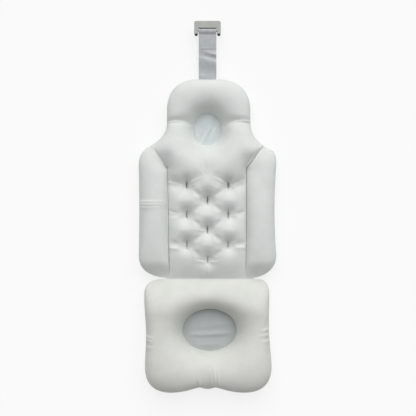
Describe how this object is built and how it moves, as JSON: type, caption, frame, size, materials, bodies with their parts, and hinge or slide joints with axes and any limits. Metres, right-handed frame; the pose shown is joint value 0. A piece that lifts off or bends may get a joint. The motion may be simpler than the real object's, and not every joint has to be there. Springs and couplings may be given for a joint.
{
  "type": "bath pillow",
  "caption": "Infant bath support pillow: tufted back cushion with side bolsters and a head well, folding seat cushion with an oval well, and a webbing strap with a rim hook.",
  "frame": {"origin": "under the middle of the whole pillow, on the surface that it lies on", "axes": "+X to the right, +Y along its length towards the strap and hook, +Z out of the padded front"},
  "size_m": [0.2336, 0.631, 0.052],
  "materials": {
    "cover_fabric": "off-white soft knit",
    "rear_fabric": "off-white plain weave",
    "fibre": "loose polyester fibre",
    "well_fabric": "pale grey smooth lining",
    "thread": "off-white sewing thread",
    "webbing": "pale grey satin webbing",
    "hook_plastic": "warm grey moulded plastic",
    "tip_rubber": "black rubber"
  },
  "bodies": {
    "back": {"back_front_cover": "cover_fabric", "left_bolster_cover": "cover_fabric", "right_bolster_cover": "cover_fabric", "back_rear_cover": "rear_fabric", "back_centre_fill": "fibre", "left_bolster_fill": "fibre", "right_bolster_fill": "fibre", "left_baffle": "well_fabric", "right_baffle": "well_fabric", "head_well_panel": "well_fabric", "tuft_tack_01": "thread", "tuft_tack_02": "thread", "tuft_tack_03": "thread", "tuft_tack_04": "thread", "tuft_tack_05": "thread", "tuft_tack_06": "thread", "tuft_tack_07": "thread", "tuft_tack_08": "thread", "tuft_tack_09": "thread", "tuft_tack_10": "thread", "hinge_tape": "rear_fabric", "strap_anchor": "webbing"},
    "seat": {"seat_top_cover": "cover_fabric", "seat_bottom_cover": "rear_fabric", "seat_fill": "fibre", "seat_well_panel": "well_fabric"},
    "strap": {"strap_web": "webbing", "loop_tack": "thread"},
    "hook": {"hook_body": "hook_plastic", "left_hook_tip": "tip_rubber", "right_hook_tip": "tip_rubber"}
  },
  "joints": [
    {"name": "seat_fold", "type": "hinge", "parent": "back", "child": "seat", "pos_m": [0, -0.122, 0.017], "axis": [-1, 0, 0], "range_deg": [-75, 85], "deforming": ["hinge_tape"]},
    {"name": "strap_flex", "type": "hinge", "parent": "back", "child": "strap", "pos_m": [0, 0.217, 0.017], "axis": [1, 0, 0], "range_deg": [-80, 80]},
    {"name": "hook_swing", "type": "hinge", "parent": "strap", "child": "hook", "pos_m": [0, 0.299, 0.019], "axis": [1, 0, 0], "range_deg": [-35, 90]}
  ]
}
